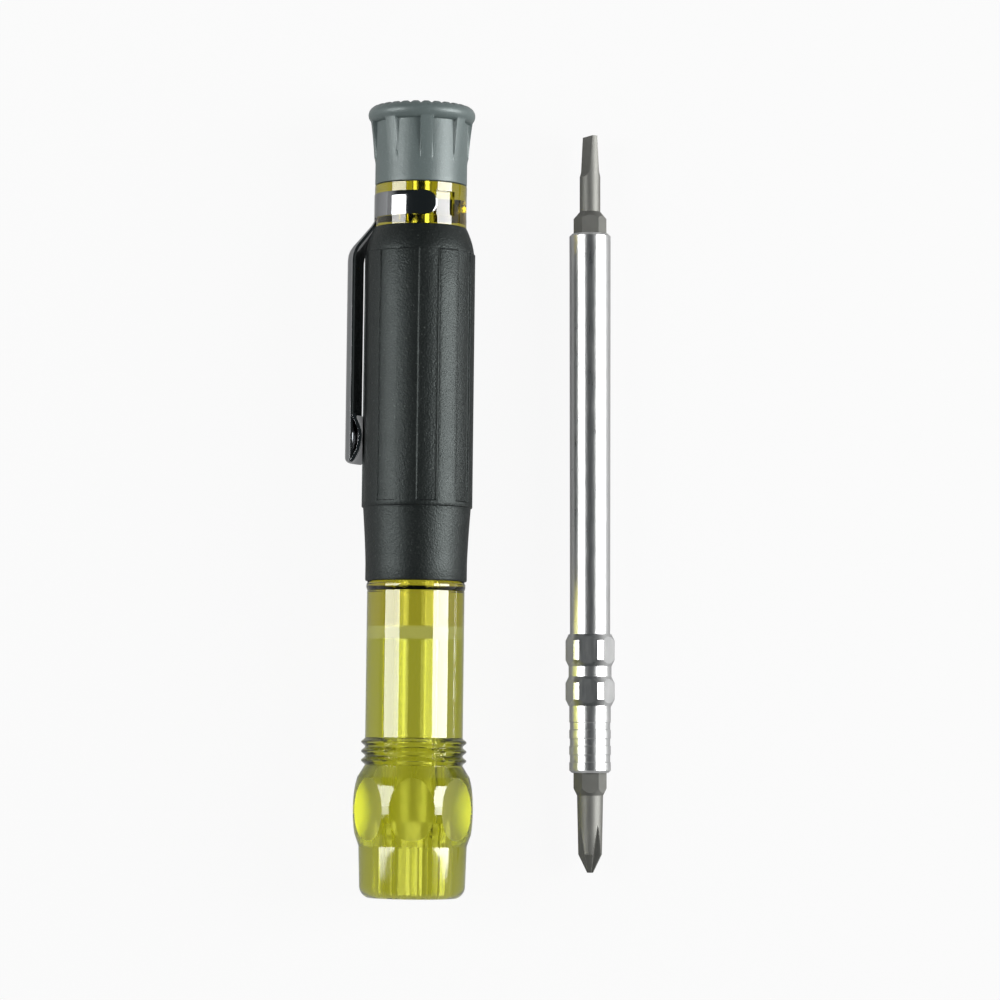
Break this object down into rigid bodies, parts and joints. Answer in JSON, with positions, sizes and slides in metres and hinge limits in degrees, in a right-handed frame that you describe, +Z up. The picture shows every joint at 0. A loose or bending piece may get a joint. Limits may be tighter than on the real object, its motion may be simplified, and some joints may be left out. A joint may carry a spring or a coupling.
{
  "type": "pocket screwdriver",
  "caption": "Pocket screwdriver with a clear fluted nose, rubber grip, pocket clip and spinning cap, laid beside its reversible shaft with slotted and cross bits.",
  "frame": {"origin": "On the surface that the two pieces lie on, under the middle of the box round both.", "axes": "+Y runs along the handle towards its cap, +X towards the shaft that lies beside it, +Z up."},
  "size_m": [0.0383, 0.1098, 0.0161],
  "materials": {
    "amber_plastic": "clear amber, polished",
    "clear_plastic": "clear yellow-green, polished",
    "grip_rubber": "fine-grained matt",
    "clip_chrome": "mirror chrome",
    "pin_steel": "plain",
    "washer_plastic": "plain",
    "cap_plastic": "satin grey",
    "shaft_chrome": "bright plated",
    "bit_steel": "satin dark grey"
  },
  "bodies": {
    "handle": {"handle_core": "amber_plastic", "nose_piece": "clear_plastic", "grip_sleeve": "grip_rubber", "clip_band": "clip_chrome", "pivot_pin": "pin_steel", "thrust_washer": "washer_plastic"},
    "clip": {"clip_arm": "clip_chrome"},
    "cap": {"cap_shell": "cap_plastic", "cap_insert": "cap_plastic"},
    "shaft": {"shaft_body": "shaft_chrome", "bit_spring_upper": "pin_steel", "bit_spring_lower": "pin_steel"},
    "upper_bit": {"slotted_bit": "bit_steel"},
    "lower_bit": {"phillips_bit": "bit_steel"}
  },
  "joints": [
    {"name": "cap_spin", "type": "hinge", "parent": "handle", "child": "cap", "pos_m": [-0.00876, 0.04381, 0.00835], "axis": [0, 1, 0], "continuous": true},
    {"name": "clip_flex", "type": "hinge", "parent": "handle", "child": "clip", "pos_m": [-0.01508, 0.03909, 0.00701], "axis": [0.2079, 0, -0.9781], "range_deg": [0, 4], "stiffness_Nm_per_rad": 0.52},
    {"name": "shaft_draw", "type": "slide", "parent": "handle", "child": "shaft", "axis": [0.0101, -0.9999, 0], "range_m": [0, 0.11]},
    {"name": "upper_bit_draw", "type": "slide", "parent": "shaft", "child": "upper_bit", "axis": [-0.0101, 0.9999, 0], "range_m": [0, 0.018]},
    {"name": "lower_bit_draw", "type": "slide", "parent": "shaft", "child": "lower_bit", "axis": [0.0101, -0.9999, 0], "range_m": [0, 0.018]}
  ]
}
